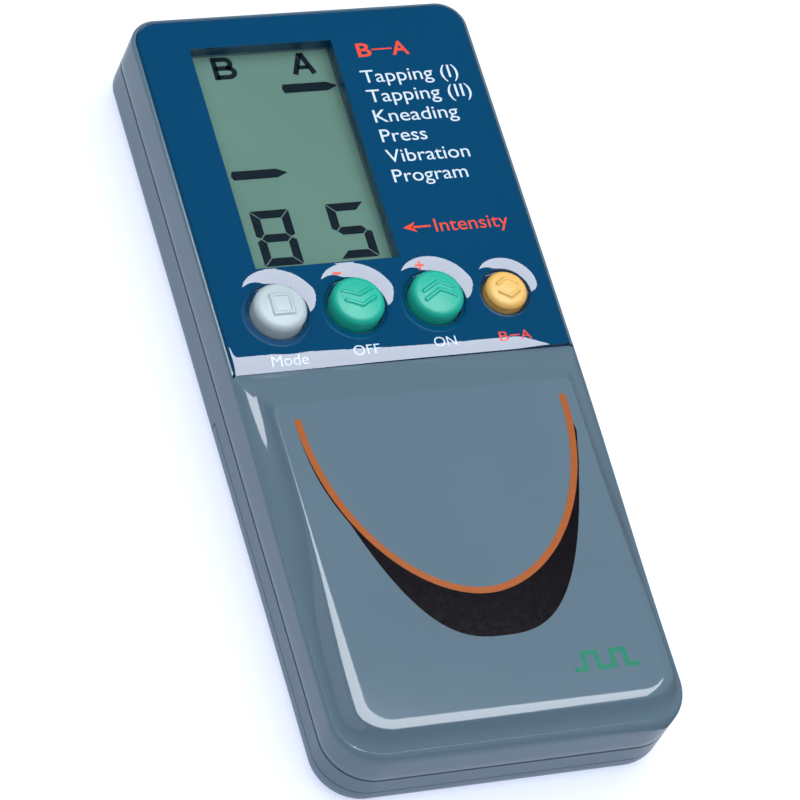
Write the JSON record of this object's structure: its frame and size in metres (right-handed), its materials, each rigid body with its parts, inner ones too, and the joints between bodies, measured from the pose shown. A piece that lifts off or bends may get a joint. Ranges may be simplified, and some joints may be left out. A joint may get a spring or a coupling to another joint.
{
  "type": "tens unit",
  "caption": "Handheld two-channel nerve and muscle stimulator: flat case with display, round press keys, two lead sockets on the end wall and a sliding battery door on the back.",
  "frame": {"origin": "centre of the case's footprint, on the flat back it lies on", "axes": "+X across the case to the right of the keys, +Y along the case towards the display end, +Z out of the face"},
  "size_m": [0.06, 0.1374, 0.019],
  "materials": {
    "case_grey": "gloss moulded blue-grey plastic",
    "case_back_grey": "gloss moulded blue-grey plastic",
    "door_grey": "gloss moulded blue-grey plastic",
    "plate_blue": "high gloss dark blue",
    "clear_pane": "clear polished",
    "key_white": "satin",
    "key_green": "satin",
    "key_yellow": "satin",
    "lcd_glass": "grey-green reflective display",
    "black_plastic": "moulded black",
    "zebra_rubber": "striped elastomer",
    "pcb_green": "solder mask",
    "steel": "bright",
    "nickel": "nickel plated",
    "copper_winding": "enamelled winding under yellow tape",
    "can_blue": "sleeved can",
    "cell_wrap": "printed sleeve, plain bands",
    "wire_red": "insulated wire",
    "wire_black": "insulated wire"
  },
  "bodies": {
    "case": {"front_shell": "case_grey", "back_shell": "case_back_grey", "face_plate": "plate_blue", "lcd_window": "clear_pane", "tact_switches": "steel", "lcd_panel": "lcd_glass", "lcd_holder": "black_plastic", "zebra_strips": "zebra_rubber", "main_pcb": "pcb_green", "pcb_screws": "steel", "controller_chip": "black_plastic", "output_transformers": "copper_winding", "capacitors": "can_blue", "transistors": "black_plastic", "crystal": "nickel", "buzzer": "black_plastic", "output_jack_a": "black_plastic", "output_jack_b": "black_plastic", "battery_cell_1": "cell_wrap", "battery_cell_2": "cell_wrap", "battery_cell_3": "cell_wrap", "battery_cell_4": "cell_wrap", "battery_contacts": "nickel", "battery_springs": "nickel", "battery_lead_plus": "wire_red", "battery_lead_minus": "wire_black", "case_screws": "steel"},
    "door": {"battery_door": "door_grey"},
    "mode_key": {"mode_button": "key_white", "mode_plunger": "black_plastic"},
    "off_key": {"off_button": "key_green", "off_plunger": "black_plastic"},
    "on_key": {"on_button": "key_green", "on_plunger": "black_plastic"},
    "swap_key": {"swap_button": "key_yellow", "swap_plunger": "black_plastic"}
  },
  "joints": [
    {"name": "mode_press", "type": "slide", "parent": "case", "child": "mode_key", "axis": [0, 0, -1], "range_m": [0, 0.0006], "stiffness_N_per_m": 600, "springref_m": -0.0008},
    {"name": "off_press", "type": "slide", "parent": "case", "child": "off_key", "axis": [0, 0, -1], "range_m": [0, 0.0006], "stiffness_N_per_m": 600, "springref_m": -0.0008},
    {"name": "on_press", "type": "slide", "parent": "case", "child": "on_key", "axis": [0, 0, -1], "range_m": [0, 0.0006], "stiffness_N_per_m": 600, "springref_m": -0.0008},
    {"name": "swap_press", "type": "slide", "parent": "case", "child": "swap_key", "axis": [0, 0, -1], "range_m": [0, 0.0006], "stiffness_N_per_m": 600, "springref_m": -0.0008},
    {"name": "battery_door_slide", "type": "slide", "parent": "case", "child": "door", "axis": [0, -1, 0], "range_m": [0, 0.064]}
  ]
}
